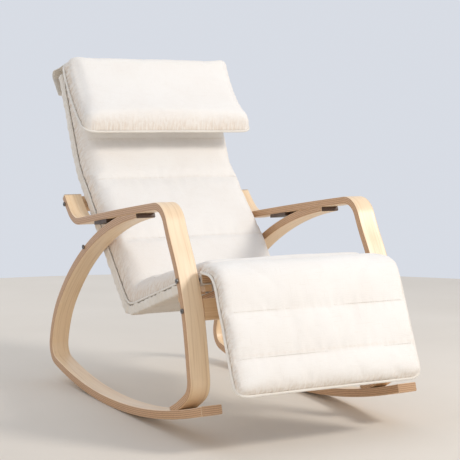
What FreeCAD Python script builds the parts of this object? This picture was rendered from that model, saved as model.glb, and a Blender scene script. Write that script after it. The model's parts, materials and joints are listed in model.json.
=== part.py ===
import FreeCAD, Part
import math
import os

# Bentwood rocking lounge chair with a sliding footrest, soft pads and a hinged headrest pillow.
# Millimetres. X runs across the chair, the sitter looks towards -Y, Z is up, the floor is z = 0.
# The sitter's right side is -X. The origin is under the middle of the bounding box.

V = FreeCAD.Vector

# ---- side frames -------------------------------------------------------------------------
OVERALL_WIDTH = 650.0
BAND_WIDTH = 57.0
ARM_THICKNESS = 21.0
ROCKER_THICKNESS = 24.0
BAND_OUTSIDE = OVERALL_WIDTH / 2
BAND_INSIDE = BAND_OUTSIDE - BAND_WIDTH

# A bent band is a start point, a heading in degrees (0 = rearward, 90 = up) and runs of
# (length along the middle of the band, turn in degrees).
ARM_START = (400.0, 589.0)
ARM_HEADING = 226.5
ARM_RUNS = [(66, -6), (84, -49), (553, 1.3), (82, 72), (80, -7), (219, 20.5), (120, 3), (56, 63.5), (104, 12)]
ROCKER_START = (-159.3, 570.23)
ROCKER_HEADING = -10.275
ROCKER_RUNS = [
    (56, -1.225), (214, -10.5), (214, -11.3), (208, -13.7), (166, -28),
    (81, -91.7), (134, -4.6), (293, -9), (574, -14.8), (58, -1.5),
]

WEDGE_Y = (52.0, 144.0)
WEDGE_DEPTH = 10.0

# ---- seat and back frame -----------------------------------------------------------------
# The path is the outer (rear and under) face of the canvas sleeve, from the top down.
BACK_START = (600.0, 962.0)
BACK_HEADING = 244.6
BACK_RUNS = [(270, 0), (110, -18.6), (472, 0), (90, -63.2), (468, 0)]
CANVAS = 2.0
RAIL_THICKNESS = 22.0
RAIL_WIDTH = 34.0
SEAM_GAP = 0.3
RAIL_OUTSIDE = 260.0
RAIL_INSIDE = RAIL_OUTSIDE - RAIL_WIDTH
SLEEVE_DEPTH = RAIL_THICKNESS + 2 * (CANVAS + SEAM_GAP)
SLEEVE_OUTSIDE = RAIL_OUTSIDE + SEAM_GAP + CANVAS
SLEEVE_INSIDE = RAIL_INSIDE - SEAM_GAP - CANVAS

SEAT_SLOPE = math.radians(17.2)
SEAT_DIR = (-math.cos(SEAT_SLOPE), math.sin(SEAT_SLOPE))
FRONT_BOLT = (-420.0, 414.5)
BACK_BOLT = (229.0, 447.0)
TIP_BOLT = (386.0, 566.0)
BOARD_BOLT = (-450.0, 341.0)
BAR_RADIUS = 10.5
TOP_BAR_INSET = 26.0

# ---- cross pieces (thickness, height) and how far they lean, in degrees --------------------
FRONT_BOARD = (19.0, 55.0)
FRONT_BOARD_LEAN = -13.0
TIP_RAIL = (20.0, 44.0)
TIP_RAIL_LEAN = -41.0

# ---- fasteners ---------------------------------------------------------------------------
BOLT_RADIUS = 4.0
HEAD_RADIUS = 6.5
HEAD_HEIGHT = 4.0
SOCKET_RADIUS = 2.7
BOLT_REACH = 24.0
COLLAR_WALL = 1.5
SCREW_RADIUS = 2.5
SCREW_HEAD = (4.5, 2.5)
SCREW_SPREAD = 14.0
# Each pair of screws: head at (y, z), heading in degrees, length.
SCREWS = [(-392.0, 91.0, 244.0, 30.0)]

# ---- footrest ----------------------------------------------------------------------------
FOOTREST_START = (-284.2, 331.3)
FOOTREST_HEADING = 162.8
FOOTREST_RUNS = [(194.5, 0), (82.6, 86), (212, 0)]
FOOTREST_RAIL = (188.0, 222.0)
FOOTREST_THICKNESS = 20.0
DOWEL_RADIUS = 8.0
DOWEL_HALF_LENGTH = 246.0
NOTCH_PITCH = 28.0
NOTCH_COUNT = 5
RACK = (230.0, 250.0)
RACK_HEIGHT = 17.6
NOTCH_DEPTH = 8.0

DOWEL_INSET = 14.0
KNEE_REACH = 28.0
KNEE_TURN = 29.0
FOOT_BAR_RADIUS = 10.0
LOW_BAR_REACH = 190.0
FOOT_SLING_LENGTH = 205.0
RACK_GAP = 0.5
RACK_FRONT = 456.0
RACK_REAR = 289.0
RACK_SCREWS = (302.5, 444.0)
RACK_EDGE = 2.0
RACK_SCREW_GRIP = 16.0

# ---- pads --------------------------------------------------------------------------------
SEAT_PAD_HALF = 261.0
LEG_PAD_HALF = 277.0
PILLOW_HALF = 288.0
PAD_SEAT = 27.2
BACK_PAD_CORNERS = [
    (608, 948, 0.1), (503, 989, 22), (367, 700, 300), (38, 360, 10), (-432, 466, 14),
    (-432, 415, 0.1), (60, 262, 0.1), (440, 630, 0.1),
]
LEG_PAD_START = (-437.0, 433.0)
LEG_PAD_RUNS = [(68, 0), (33, 67.7), (289, 0)]
LEG_PAD_THICKNESS = 27.0
PILLOW_START = (497.0, 1001.0)
PILLOW_HEADING = 243.8
PILLOW_RUNS = [(128, -13.5), (163, -17)]
PILLOW_THICKNESS = 54.0
HOOD_START = (497.0, 1013.0)
HOOD_HEADING = -9.0
HOOD_RUNS = [(155, 0), (39, -122), (74, 0)]
HOOD_THICKNESS = 3.0
STRAP_AT = (45.0, 150.0)
STRAP_WIDTH = 25.0
STRAP_THICKNESS = 1.5
STRAP_HALF = 236.0


def path_points(start, heading, runs, offset):
    """End points and mid points of each run, moved sideways (left positive) by offset."""
    y, z = start
    angle = math.radians(heading)
    points = [(y - offset * math.sin(angle), z + offset * math.cos(angle))]
    for length, turn in runs:
        bend = math.radians(turn)
        for _ in range(2):
            half = bend / 2
            chord = length / 2 if abs(half) < 1e-9 else length / half * math.sin(half / 2)
            y += chord * math.cos(angle + half / 2)
            z += chord * math.sin(angle + half / 2)
            angle += half
            points.append((y - offset * math.sin(angle), z + offset * math.cos(angle)))
    return points


def at(point, x=0.0):
    return V(x, point[0], point[1])


def path_edges(start, heading, runs, offset):
    points = path_points(start, heading, runs, offset)
    edges = []
    for i, (_, turn) in enumerate(runs):
        first, middle, last = [at(p) for p in points[2 * i:2 * i + 3]]
        if turn:
            edges.append(Part.Arc(first, middle, last).toShape())
        else:
            edges.append(Part.makeLine(first, last))
    return edges


def strip(start, heading, runs, left, right, x0, x1):
    """Band between two offsets of a path, extruded from x0 to x1."""
    side_a = path_edges(start, heading, runs, left)
    side_b = path_edges(start, heading, runs, right)
    first_a = path_points(start, heading, runs, left)[0]
    first_b = path_points(start, heading, runs, right)[0]
    last_a = path_points(start, heading, runs, left)[-1]
    last_b = path_points(start, heading, runs, right)[-1]
    caps = [Part.makeLine(at(first_a), at(first_b)), Part.makeLine(at(last_a), at(last_b))]
    wire = Part.Wire(Part.sortEdges(side_a + side_b + caps)[0])
    return extrude(wire, x0, x1)


def extrude(wire, x0, x1):
    solid = Part.Face(wire).extrude(V(x1 - x0, 0, 0))
    solid.translate(V(x0, 0, 0))
    return solid


def rounded_outline(corners):
    """Closed wire through (y, z, radius) corners with each corner rounded."""
    edges = []
    count = len(corners)
    ends = []
    for i, (y, z, radius) in enumerate(corners):
        here = V(0, y, z)
        to_last = (V(0, *corners[i - 1][:2]) - here).normalize()
        to_next = (V(0, *corners[(i + 1) % count][:2]) - here).normalize()
        angle = to_last.getAngle(to_next)
        reach = radius / math.tan(angle / 2)
        middle = (to_last + to_next).normalize()
        centre_distance = radius / math.sin(angle / 2)
        ends.append((here + to_last * reach, here + middle * (centre_distance - radius), here + to_next * reach))
    for i in range(count):
        first, middle, last = ends[i]
        if (first - last).Length > 1e-6:
            edges.append(Part.Arc(first, middle, last).toShape())
        edges.append(Part.makeLine(last, ends[(i + 1) % count][0]))
    return Part.Wire(edges)


def prism(corners, x0, x1):
    return extrude(rounded_outline(corners), x0, x1)


def across(point, radius, x0, x1):
    """Round bar along X."""
    return Part.makeCylinder(radius, x1 - x0, at(point, x0), V(1, 0, 0))


def plank(point, slope, length, height, x0, x1):
    """Rectangular bar along X, centred on point; length lies along the slope."""
    box = Part.makeBox(x1 - x0, length, height, V(x0, -length / 2, -height / 2))
    box.rotate(V(0, 0, 0), V(1, 0, 0), slope)
    box.translate(at(point))
    return box


def mirrored(shape):
    return shape.mirror(V(0, 0, 0), V(1, 0, 0))


def save(name, shape):
    shape = shape.removeSplitter() if len(shape.Solids) == 1 else shape
    shape.exportStep("parts/%s.step" % name)
    box = shape.BoundBox
    print("%-26s solids %2d  x %7.1f %7.1f  y %7.1f %7.1f  z %7.1f %7.1f" % (
        name, len(shape.Solids), box.XMin, box.XMax, box.YMin, box.YMax, box.ZMin, box.ZMax))


def save_pair(name, left_shape):
    save(name + "_left", left_shape)
    save(name + "_right", mirrored(left_shape))


def along_seat(distance, depth):
    """Point under the seat: distance forward from the seat bend, depth below the sleeve."""
    y0, z0 = path_points(BACK_START, BACK_HEADING, BACK_RUNS, 0)[-1]
    back = BACK_RUNS[-1][0] - distance
    y = y0 - back * SEAT_DIR[0] - depth * math.sin(SEAT_SLOPE)
    z = z0 - back * SEAT_DIR[1] - depth * math.cos(SEAT_SLOPE)
    return (y, z)


os.makedirs("parts", exist_ok=True)

# ---- side frames: an armrest band that turns down into the front leg, and a rocker band ----
arm = strip(ARM_START, ARM_HEADING, ARM_RUNS, ARM_THICKNESS / 2, -ARM_THICKNESS / 2, BAND_INSIDE, BAND_OUTSIDE)
rocker = strip(ROCKER_START, ROCKER_HEADING, ROCKER_RUNS, ROCKER_THICKNESS / 2, -ROCKER_THICKNESS / 2,
               BAND_INSIDE, BAND_OUTSIDE)
above_arm = strip(ARM_START, ARM_HEADING, ARM_RUNS[:4], ARM_THICKNESS / 2, -60, BAND_INSIDE, BAND_OUTSIDE)
rocker_zone = strip(ROCKER_START, ROCKER_HEADING, ROCKER_RUNS, 60, -ROCKER_THICKNESS / 2,
                    BAND_INSIDE, BAND_OUTSIDE)
floor_zone = Part.makeBox(BAND_WIDTH, 400, 200, V(BAND_INSIDE, -520, -60))
arm = arm.cut(rocker_zone.common(floor_zone))
rocker = rocker.cut(above_arm)

under_arm = strip(ARM_START, ARM_HEADING, ARM_RUNS[:4], ARM_THICKNESS / 2 + WEDGE_DEPTH,
                  ARM_THICKNESS / 2, BAND_INSIDE, BAND_OUTSIDE)
wedge_zone = Part.makeBox(BAND_WIDTH, WEDGE_Y[1] - WEDGE_Y[0], 80, V(BAND_INSIDE, WEDGE_Y[0], 480))
under_rocker = strip(ROCKER_START, ROCKER_HEADING, ROCKER_RUNS[:4], ROCKER_THICKNESS / 2, -80,
                     BAND_INSIDE, BAND_OUTSIDE)
wedge = under_arm.common(wedge_zone).cut(under_rocker)

# ---- seat and back frame: two bent rails, round bars between them, a canvas sling over it ----
rail = strip(BACK_START, BACK_HEADING, BACK_RUNS, -CANVAS - SEAM_GAP, -CANVAS - SEAM_GAP - RAIL_THICKNESS,
             RAIL_INSIDE, RAIL_OUTSIDE)
sling = strip(BACK_START, BACK_HEADING, BACK_RUNS, 0, -CANVAS, -SLEEVE_INSIDE, SLEEVE_INSIDE)
sleeve = strip(BACK_START, BACK_HEADING, BACK_RUNS, 0, -SLEEVE_DEPTH, SLEEVE_INSIDE, SLEEVE_OUTSIDE)
sleeve = sleeve.cut(strip(BACK_START, BACK_HEADING, BACK_RUNS, -CANVAS, CANVAS - SLEEVE_DEPTH,
                          RAIL_INSIDE - SEAM_GAP, RAIL_OUTSIDE + SEAM_GAP))

middle = -SLEEVE_DEPTH / 2
top_bar_at = path_points(BACK_START, BACK_HEADING, [(TOP_BAR_INSET, 0)], middle)[-1]
bend_bar_at = path_points(BACK_START, BACK_HEADING, BACK_RUNS[:3], middle)[-1]
bars = {
    "seat_front_bar": FRONT_BOLT,
    "lumbar_bar": BACK_BOLT,
    "seat_rear_bar": bend_bar_at,
    "top_bar": top_bar_at,
}
for name, point in bars.items():
    save(name, across(point, BAR_RADIUS, -RAIL_INSIDE, RAIL_INSIDE))
    sleeve = sleeve.cut(across(point, BAR_RADIUS + 1, SLEEVE_INSIDE - 2, RAIL_INSIDE))

# ---- bolts from the outer edge of each band, through it, into the seat frame or the board ----
bolt_points = [FRONT_BOLT, BACK_BOLT, TIP_BOLT, BOARD_BOLT]
bolts = []
for point in bolt_points:
    into = BAND_INSIDE if point in (TIP_BOLT, BOARD_BOLT) else RAIL_OUTSIDE
    shank = across(point, BOLT_RADIUS, into - BOLT_REACH, BAND_OUTSIDE)
    head = across(point, HEAD_RADIUS, BAND_OUTSIDE, BAND_OUTSIDE + HEAD_HEIGHT)
    socket = across(point, SOCKET_RADIUS, BAND_OUTSIDE + HEAD_HEIGHT / 2, BAND_OUTSIDE + HEAD_HEIGHT)
    bolts.append(shank.fuse(head).cut(socket).removeSplitter())
    hole = across(point, BOLT_RADIUS, into - BOLT_REACH, BAND_OUTSIDE)
    arm = arm.cut(hole)
    rocker = rocker.cut(hole)
    rail = rail.cut(hole)
    if into == RAIL_OUTSIDE:
        sleeve = sleeve.cut(across(point, BOLT_RADIUS + 2, RAIL_OUTSIDE - 2, SLEEVE_OUTSIDE + 2))
save_pair("frame_bolts", Part.makeCompound(bolts))
collars = []
for point in (FRONT_BOLT, BACK_BOLT):
    tube = across(point, BOLT_RADIUS + COLLAR_WALL, RAIL_OUTSIDE, BAND_INSIDE)
    collars.append(tube.cut(across(point, BOLT_RADIUS, RAIL_OUTSIDE, BAND_INSIDE)))
save_pair("bolt_collars", Part.makeCompound(collars))
save("seat_back_sling", sling)

# ---- cross pieces between the two side frames ----
front_board = plank(BOARD_BOLT, FRONT_BOARD_LEAN, FRONT_BOARD[0], FRONT_BOARD[1], -BAND_INSIDE, BAND_INSIDE)
tip_rail = plank(TIP_BOLT, TIP_RAIL_LEAN, TIP_RAIL[0], TIP_RAIL[1], -BAND_INSIDE, BAND_INSIDE)
for side in (-1, 1):
    x0, x1 = sorted((side * BAND_INSIDE, side * (BAND_INSIDE - BOLT_REACH)))
    front_board = front_board.cut(across(BOARD_BOLT, BOLT_RADIUS, x0, x1))
    tip_rail = tip_rail.cut(across(TIP_BOLT, BOLT_RADIUS, x0, x1))
save("front_cross_board", front_board)
save("back_rest_rail", tip_rail)

# ---- screws that hold the leg ends on the runners ----

def screw(point, heading, length, x):
    """Round-head screw driven into the wood from point along heading."""
    way = V(0, math.cos(math.radians(heading)), math.sin(math.radians(heading)))
    head = Part.makeCylinder(SCREW_HEAD[0], SCREW_HEAD[1], at(point, x), way * -1)
    shank = Part.makeCylinder(SCREW_RADIUS, length, at(point, x), way)
    return head.fuse(shank).removeSplitter()


band_middle = (BAND_INSIDE + BAND_OUTSIDE) / 2
screws = []
for y, z, heading, length in SCREWS:
    for x in (band_middle - SCREW_SPREAD, band_middle + SCREW_SPREAD):
        screws.append(screw((y, z), heading, length, x))
drills = Part.makeCompound(screws)
arm = arm.cut(drills)
rocker = rocker.cut(drills)
save_pair("arm_band", arm)
save_pair("rocker_band", rocker)
save_pair("arm_wedge", wedge)
save_pair("band_screws", drills)

# ---- footrest: two bent rails that slide between the front board and the front bar ----
foot_rail = strip(FOOTREST_START, FOOTREST_HEADING, FOOTREST_RUNS, FOOTREST_THICKNESS / 2,
                  -FOOTREST_THICKNESS / 2, FOOTREST_RAIL[0], FOOTREST_RAIL[1])
dowel_at = path_points(FOOTREST_START, FOOTREST_HEADING, [(DOWEL_INSET, 0)], 0)[-1]
dowel = across(dowel_at, DOWEL_RADIUS, -DOWEL_HALF_LENGTH, DOWEL_HALF_LENGTH)
foot_rail = foot_rail.cut(dowel)
knee_at = path_points(FOOTREST_START, FOOTREST_HEADING, FOOTREST_RUNS[:1] + [(KNEE_REACH, KNEE_TURN)],
                      -FOOTREST_THICKNESS / 2 - FOOT_BAR_RADIUS)[-1]
low_at = path_points(FOOTREST_START, FOOTREST_HEADING, FOOTREST_RUNS[:2] + [(LOW_BAR_REACH, 0)], 0)[-1]
save_pair("footrest_rail", foot_rail)
save("footrest_dowel", dowel)
save("footrest_knee_bar", across(knee_at, FOOT_BAR_RADIUS, -FOOTREST_RAIL[1], FOOTREST_RAIL[1]))
save("footrest_low_bar", across(low_at, FOOTREST_THICKNESS / 2 - 1, -FOOTREST_RAIL[0], FOOTREST_RAIL[0]))

low_start = path_points(FOOTREST_START, FOOTREST_HEADING, FOOTREST_RUNS[:2], 0)[-1]
low_heading = FOOTREST_HEADING + FOOTREST_RUNS[1][1]
low_run = [(FOOT_SLING_LENGTH, 0)]
inner = FOOTREST_THICKNESS / 2 + SEAM_GAP
outer = inner + CANVAS
hem_inside = FOOTREST_RAIL[0] - SEAM_GAP - CANVAS
hem_outside = FOOTREST_RAIL[1] + SEAM_GAP + CANVAS
save("footrest_sling", strip(low_start, low_heading, low_run, -inner, -outer, -hem_inside, hem_inside))
foot_sleeve = strip(low_start, low_heading, low_run, outer, -outer, hem_inside, hem_outside)
foot_sleeve = foot_sleeve.cut(strip(low_start, low_heading, low_run, inner, -inner,
                                    FOOTREST_RAIL[0] - SEAM_GAP, FOOTREST_RAIL[1] + SEAM_GAP))
foot_sleeve = foot_sleeve.cut(across(low_at, FOOTREST_THICKNESS / 2, hem_inside - 1, FOOTREST_RAIL[0]))
save_pair("footrest_sleeve", foot_sleeve)

# ---- notched racks under the seat rails; the dowel runs along their teeth ----
rack_corners = []
for distance, depth in (
    (RACK_FRONT, RACK_GAP), (RACK_REAR, RACK_GAP), (RACK_REAR, RACK_HEIGHT), (RACK_FRONT, RACK_HEIGHT),
):
    rack_corners.append(along_seat(distance, depth) + (RACK_EDGE,))
rack = prism(rack_corners, RACK[0], RACK[1])
bend = along_seat(0, 0)
dowel_distance = (dowel_at[0] - bend[0]) * SEAT_DIR[0] + (dowel_at[1] - bend[1]) * SEAT_DIR[1]
for i in range(NOTCH_COUNT):
    notch_at = along_seat(dowel_distance + i * NOTCH_PITCH, RACK_HEIGHT + DOWEL_RADIUS - NOTCH_DEPTH)
    rack = rack.cut(across(notch_at, DOWEL_RADIUS, RACK[0], RACK[1]))
rack_screws = []
for distance in RACK_SCREWS:
    tip = along_seat(distance, RACK_HEIGHT)
    rack_screws.append(screw(tip, 90 - math.degrees(SEAT_SLOPE), RACK_HEIGHT + RACK_SCREW_GRIP, sum(RACK) / 2))
rack_screws = Part.makeCompound(rack_screws)
save_pair("notch_rack", rack.cut(rack_screws))
save_pair("rack_screws", rack_screws)
save_pair("seat_back_rail", rail.cut(rack_screws))
save_pair("rail_sleeve", sleeve.cut(rack_screws))

# ---- pads ----
pad = prism(BACK_PAD_CORNERS, -SEAT_PAD_HALF, SEAT_PAD_HALF)
pad = pad.cut(strip(BACK_START, BACK_HEADING, BACK_RUNS, 90, -PAD_SEAT, -SEAT_PAD_HALF, SEAT_PAD_HALF))
save("seat_back_pad", pad)
leg_pad = strip(LEG_PAD_START, 180, LEG_PAD_RUNS, 0, -LEG_PAD_THICKNESS, -LEG_PAD_HALF, LEG_PAD_HALF)
save("footrest_pad", leg_pad)
straps = []
for distance in STRAP_AT:
    y0, z0 = path_points(low_start, low_heading, [(distance, 0)], 0)[-1]
    loop = strip((y0, z0), low_heading, [(STRAP_WIDTH, 0)], outer + 2, -30, -STRAP_HALF, STRAP_HALF)
    inside = strip((y0, z0), low_heading, [(STRAP_WIDTH, 0)], outer + 0.5, -40,
                   STRAP_THICKNESS - STRAP_HALF, STRAP_HALF - STRAP_THICKNESS)
    pieces = loop.cut(inside).cut(leg_pad).Solids
    straps.append(max(pieces, key=lambda piece: piece.CenterOfMass.y))
save("footrest_pad_straps", Part.makeCompound(straps))
pillow = strip(PILLOW_START, PILLOW_HEADING, PILLOW_RUNS, 0, -PILLOW_THICKNESS, -PILLOW_HALF, PILLOW_HALF)
save("headrest_pillow", pillow)
hood = strip(HOOD_START, HOOD_HEADING, HOOD_RUNS, 0, -HOOD_THICKNESS, -SEAT_PAD_HALF, SEAT_PAD_HALF)
save("pillow_hood", hood)
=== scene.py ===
import json
import math

import bmesh
import bpy
import numpy as np
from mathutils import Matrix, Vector


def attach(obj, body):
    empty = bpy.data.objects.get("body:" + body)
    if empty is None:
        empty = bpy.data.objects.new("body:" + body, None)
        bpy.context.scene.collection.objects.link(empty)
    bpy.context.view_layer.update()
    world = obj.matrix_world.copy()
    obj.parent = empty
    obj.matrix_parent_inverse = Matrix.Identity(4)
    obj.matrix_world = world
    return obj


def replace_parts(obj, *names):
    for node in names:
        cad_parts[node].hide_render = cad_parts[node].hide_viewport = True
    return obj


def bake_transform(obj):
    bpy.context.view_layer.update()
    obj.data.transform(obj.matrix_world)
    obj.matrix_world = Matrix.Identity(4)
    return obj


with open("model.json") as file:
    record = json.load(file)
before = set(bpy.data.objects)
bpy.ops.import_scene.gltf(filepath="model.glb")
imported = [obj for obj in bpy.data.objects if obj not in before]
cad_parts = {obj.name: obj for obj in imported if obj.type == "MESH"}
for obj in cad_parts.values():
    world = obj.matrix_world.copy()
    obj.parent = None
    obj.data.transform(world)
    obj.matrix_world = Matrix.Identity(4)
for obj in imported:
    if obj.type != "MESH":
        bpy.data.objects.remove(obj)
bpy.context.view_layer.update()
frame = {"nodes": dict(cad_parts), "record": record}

# Bentwood rocking lounge chair. Metres, in the CAD model's own frame: X across, the sitter looks
# towards -Y, Z up, the floor at z = 0.

scene = bpy.context.scene

# ------------------------------------------------------------------ bent paths, as in the CAD
# Start (y, z), heading in degrees (0 = rearward, 90 = up), runs of (length, turn in degrees).
ARM = ((0.400, 0.589), 226.5, [
    (0.066, -6), (0.084, -49), (0.553, 1.3), (0.082, 72), (0.080, -7), (0.219, 20.5), (0.120, 3),
    (0.056, 63.5), (0.104, 12)])
ROCKER = ((-0.1593, 0.57023), -10.275, [
    (0.056, -1.225), (0.214, -10.5), (0.214, -11.3), (0.208, -13.7), (0.166, -28), (0.081, -91.7),
    (0.134, -4.6), (0.293, -9), (0.574, -14.8), (0.058, -1.5)])
BACK = ((0.600, 0.962), 244.6, [(0.270, 0), (0.110, -18.6), (0.472, 0), (0.090, -63.2), (0.468, 0)])
FOOT = ((-0.2842, 0.3313), 162.8, [(0.1945, 0), (0.0826, 86), (0.212, 0)])
LEG = ((-0.437, 0.433), 180.0, [(0.068, 0), (0.033, 67.7), (0.289, 0)])
# The pillow's path starts 15 mm above its rear face, for its front edge stands higher.
PILLOW = ((0.50362, 1.01446), 243.8, [(0.015, 0), (0.128, -13.5), (0.163, -17)])
HOOD = ((0.497, 1.013), -9.0, [(0.153, 0), (0.039, -122), (0.074, 0)])
STEP = 0.006
FINE_STEP = 0.004

# ------------------------------------------------------------------ wood: places across the chair, thickness
BAND_INSIDE, BAND_OUTSIDE = 0.268, 0.325
HALF_ARM, HALF_ROCKER = 0.0105, 0.012
BAND_EASE = 0.0030
RAIL_EASE = 0.0022
SEAT_RAIL = (0.226, 0.260)
SEAT_RAIL_FACES = (-0.0243, -0.0023)
FOOT_RAIL = (0.188, 0.222)
HALF_FOOT_RAIL = 0.010
PLY_PAIR = 0.0050


class Path:
    """Stations along a line in the YZ plane: points p, normals n and lengths s."""

    def __init__(self, points, normals, lengths):
        self.p, self.n, self.s = np.array(points), np.array(normals), np.array(lengths)

    def offset(self, distance):
        return self.p + self.n * distance

    def normal(self, s):
        n = np.array([np.interp(s, self.s, self.n[:, k]) for k in (0, 1)])
        return n / np.hypot(*n)

    def at(self, s, distance=0.0):
        p = np.array([np.interp(s, self.s, self.p[:, k]) for k in (0, 1)])
        return p + self.normal(s) * distance

    def cut(self, s0, s1):
        """The stretch from length s0 to length s1."""
        keep = (self.s > s0) & (self.s < s1)
        points = np.vstack([self.at(s0), self.p[keep], self.at(s1)])
        normals = np.vstack([self.normal(s0), self.n[keep], self.normal(s1)])
        return Path(points, normals, np.concatenate([[s0], self.s[keep], [s1]]))

    def thinned(self, keep):
        return Path(self.p[keep], self.n[keep], self.s[keep])


def bent_path(definition, step=STEP):
    """Path of straight and bent runs."""
    (y, z), heading, runs = definition
    angle = math.radians(heading)
    points, normals, lengths = [(y, z)], [(-math.sin(angle), math.cos(angle))], [0.0]
    for length, turn in runs:
        count = max(2, round(length / step))
        part = math.radians(turn) / count
        for _ in range(count):
            y += length / count * math.cos(angle + part / 2)
            z += length / count * math.sin(angle + part / 2)
            angle += part
            points.append((y, z))
            normals.append((-math.sin(angle), math.cos(angle)))
            lengths.append(lengths[-1] + length / count)
    return Path(points, normals, lengths)


def crossing(point, normal, line):
    """Distance along normal from point to a polyline, or None."""
    a, b = line[:-1], line[1:]
    d = b - a
    cross = normal[0] * d[:, 1] - normal[1] * d[:, 0]
    cross[np.abs(cross) < 1e-12] = 1e-12
    w = a - point
    t = (w[:, 0] * d[:, 1] - w[:, 1] * d[:, 0]) / cross
    u = (w[:, 0] * normal[1] - w[:, 1] * normal[0]) / cross
    hit = (u >= -1e-6) & (u <= 1 + 1e-6) & (np.abs(t) < 0.08)
    return t[hit][np.argmin(np.abs(t[hit]))] if hit.any() else None


# ------------------------------------------------------------------ mesh helpers
def new_object(name, verts, faces, smooth=True, grain=None):
    mesh = bpy.data.meshes.new(name)
    mesh.from_pydata([tuple(v) for v in verts], [], faces)
    mesh.validate()
    bm = bmesh.new()
    bm.from_mesh(mesh)
    bmesh.ops.recalc_face_normals(bm, faces=bm.faces)
    bm.to_mesh(mesh)
    bm.free()
    mesh.polygons.foreach_set("use_smooth", [smooth] * len(mesh.polygons))
    if grain is not None:
        layer = mesh.attributes.new("grain", "FLOAT_VECTOR", "POINT")
        layer.data.foreach_set("vector", np.asarray(grain, np.float32).ravel())
    obj = bpy.data.objects.new(name, mesh)
    scene.collection.objects.link(obj)
    return obj


def sweep_rings(name, rings, closed=True, grain=None):
    """Mesh through equal rings of points; closed rings get an end face each."""
    rings = np.array(rings)
    count, size = rings.shape[:2]
    faces = []
    for i in range(count - 1):
        for j in range(size if closed else size - 1):
            k = (j + 1) % size
            faces.append((i * size + j, i * size + k, (i + 1) * size + k, (i + 1) * size + j))
    if closed:
        faces.append(tuple(range(size)))
        faces.append(tuple((count - 1) * size + j for j in range(size)))
    return new_object(name, rings.reshape(-1, 3), faces, grain=grain)


def band(name, path, x0, x1, low, high, radius):
    """Bent wooden band: a rectangle with eased edges swept along a path, shaded by its flat faces."""
    rings, grains = [], []
    for i, s in enumerate(path.s):
        lo, hi = low[i], high[i]
        r = min(radius, (hi - lo) * 0.45)
        ring, grain = [], []
        corners = ((x0, lo, 180), (x1, lo, 270), (x1, hi, 0), (x0, hi, 90))
        for x, off, turn in corners:
            cx = x + (r if x == x0 else -r)
            co = off + (r if off == lo else -r)
            for step in range(4):
                a = math.radians(turn + step * 30)
                px, po = cx + r * math.cos(a), co + r * math.sin(a)
                y, z = path.p[i] + path.n[i] * po
                ring.append((px, y, z))
                grain.append((s, px, po))
        rings.append(ring)
        grains.append(grain)
    piece = sweep_rings(name, rings, grain=grains)
    piece.modifiers.new("weighted", "WEIGHTED_NORMAL").keep_sharp = True
    return piece


def eased_corner(a, b, c, reach, steps):
    """Points on a smooth turn at b, from reach before it towards a to reach after it towards c."""
    start = b + (a - b) / np.hypot(*(a - b)) * reach
    end = b + (c - b) / np.hypot(*(c - b)) * reach
    return [(1 - t) ** 2 * start + 2 * t * (1 - t) * b + t ** 2 * end for t in np.linspace(0, 1, steps)]


def arc_corner(points, radius, steps=4):
    """Open (x, offset) outline with rounded corners."""
    points = [np.array(p, float) for p in points]
    out = [points[0]]
    for a, b, c in zip(points, points[1:], points[2:]):
        out += eased_corner(a, b, c, radius, steps)
    return np.array(out + [points[-1]])


def subdivided(outline, step):
    out = [outline[0]]
    for a, b in zip(outline, outline[1:]):
        count = max(1, int(np.hypot(*(b - a)) / step))
        out += [a + (b - a) * (k + 1) / count for k in range(count)]
    return np.array(out)


def finish_modifiers(obj):
    """Turns the modifiers into plain mesh."""
    graph = bpy.context.evaluated_depsgraph_get()
    mesh = bpy.data.meshes.new_from_object(obj.evaluated_get(graph))
    obj.modifiers.clear()
    old = obj.data
    obj.data = mesh
    bpy.data.meshes.remove(old)


def cloth_strip(name, path, outline, thickness, wrinkle):
    """Canvas swept along a path from an open (x, offset) outline, given a thickness."""
    rings = []
    tangent = np.gradient(outline, axis=0)
    side = np.stack([-tangent[:, 1], tangent[:, 0]], 1)
    side /= np.hypot(side[:, 0], side[:, 1])[:, None]
    for i, s in enumerate(path.s):
        moved = outline + side * wrinkle(s, outline)[:, None]
        rings.append([(x, *(path.p[i] + path.n[i] * off)) for x, off in moved])
    obj = sweep_rings(name, rings, closed=False)
    mod = obj.modifiers.new("thick", "SOLIDIFY")
    mod.thickness = thickness
    mod.offset = 0
    finish_modifiers(obj)
    return obj


def tube(name, points, radius):
    """Round cord in a loop through points, as a mesh."""
    curve = bpy.data.curves.new(name, "CURVE")
    curve.dimensions = "3D"
    curve.bevel_depth = radius
    curve.bevel_resolution = 3
    spline = curve.splines.new("POLY")
    spline.points.add(len(points) - 1)
    for p, q in zip(spline.points, points):
        p.co = (*q, 1)
    spline.use_cyclic_u = True
    obj = bpy.data.objects.new(name, curve)
    scene.collection.objects.link(obj)
    graph = bpy.context.evaluated_depsgraph_get()
    mesh = bpy.data.meshes.new_from_object(obj.evaluated_get(graph))
    bpy.data.objects.remove(obj)
    mesh.polygons.foreach_set("use_smooth", [True] * len(mesh.polygons))
    obj = bpy.data.objects.new(name, mesh)
    scene.collection.objects.link(obj)
    return obj


STITCH_PITCH, STITCH_LENGTH = 0.0055, 0.0034
THREAD_RADIUS = 0.00055
THREAD_LIFT = 0.0003


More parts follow.
